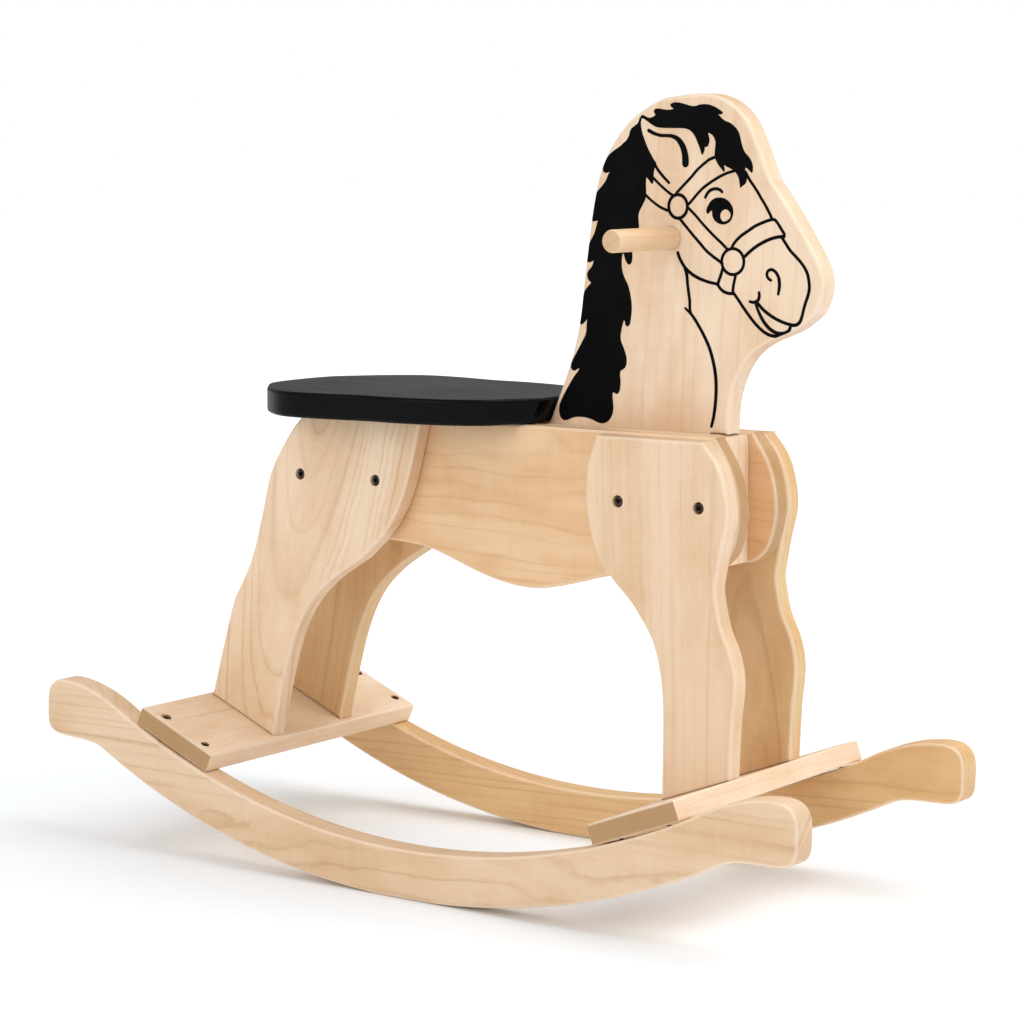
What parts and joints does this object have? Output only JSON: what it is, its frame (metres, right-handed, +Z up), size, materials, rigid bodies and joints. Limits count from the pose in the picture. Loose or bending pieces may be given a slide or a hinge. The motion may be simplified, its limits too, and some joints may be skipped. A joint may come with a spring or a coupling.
{
  "type": "rocking horse",
  "caption": "Child's wooden rocking horse: flat board legs and body on two curved rockers, with a shaped black seat and a dowel handle through a painted horse head.",
  "frame": {"origin": "middle of the footprint on the floor, at the bottom of the bounding box", "axes": "+X forward towards the horse's nose, +Y the horse's left, +Z up"},
  "size_m": [0.7992, 0.3, 0.677],
  "materials": {
    "maple": "satin",
    "hidden_maple": "matte",
    "black_paint": "satin",
    "black_steel": "satin",
    "zinc_steel": "satin"
  },
  "bodies": {
    "root": {"rocker_right": "maple", "rear_leg_right": "maple", "front_leg_right": "maple", "body_side_right": "maple", "neck_packer_right": "hidden_maple", "rocker_left": "maple", "rear_leg_left": "maple", "front_leg_left": "maple", "body_side_left": "maple", "neck_packer_left": "hidden_maple", "rear_cross_board": "maple", "front_cross_board": "maple", "neck_and_head": "maple", "chest_panel": "maple", "tail_block": "hidden_maple", "seat_cleat": "hidden_maple", "seat": "black_paint", "handle_dowel": "maple", "leg_bolt_rear_right_1": "black_steel", "bolt_insert_rear_right_1": "zinc_steel", "leg_bolt_rear_right_2": "black_steel", "bolt_insert_rear_right_2": "zinc_steel", "rocker_screw_rear_right_1": "black_steel", "rocker_screw_rear_right_2": "black_steel", "foot_screw_rear_right_1": "zinc_steel", "foot_screw_rear_right_2": "zinc_steel", "leg_bolt_front_right_1": "black_steel", "bolt_insert_front_right_1": "zinc_steel", "leg_bolt_front_right_2": "black_steel", "bolt_insert_front_right_2": "zinc_steel", "rocker_screw_front_right_1": "black_steel", "rocker_screw_front_right_2": "black_steel", "foot_screw_front_right_1": "zinc_steel", "foot_screw_front_right_2": "zinc_steel", "seat_screw_right_1": "zinc_steel", "seat_screw_right_2": "zinc_steel", "leg_bolt_rear_left_1": "black_steel", "bolt_insert_rear_left_1": "zinc_steel", "leg_bolt_rear_left_2": "black_steel", "bolt_insert_rear_left_2": "zinc_steel", "rocker_screw_rear_left_1": "black_steel", "rocker_screw_rear_left_2": "black_steel", "foot_screw_rear_left_1": "zinc_steel", "foot_screw_rear_left_2": "zinc_steel", "leg_bolt_front_left_1": "black_steel", "bolt_insert_front_left_1": "zinc_steel", "leg_bolt_front_left_2": "black_steel", "bolt_insert_front_left_2": "zinc_steel", "rocker_screw_front_left_1": "black_steel", "rocker_screw_front_left_2": "black_steel", "foot_screw_front_left_1": "zinc_steel", "foot_screw_front_left_2": "zinc_steel", "seat_screw_left_1": "zinc_steel", "seat_screw_left_2": "zinc_steel"}
  },
  "joints": []
}
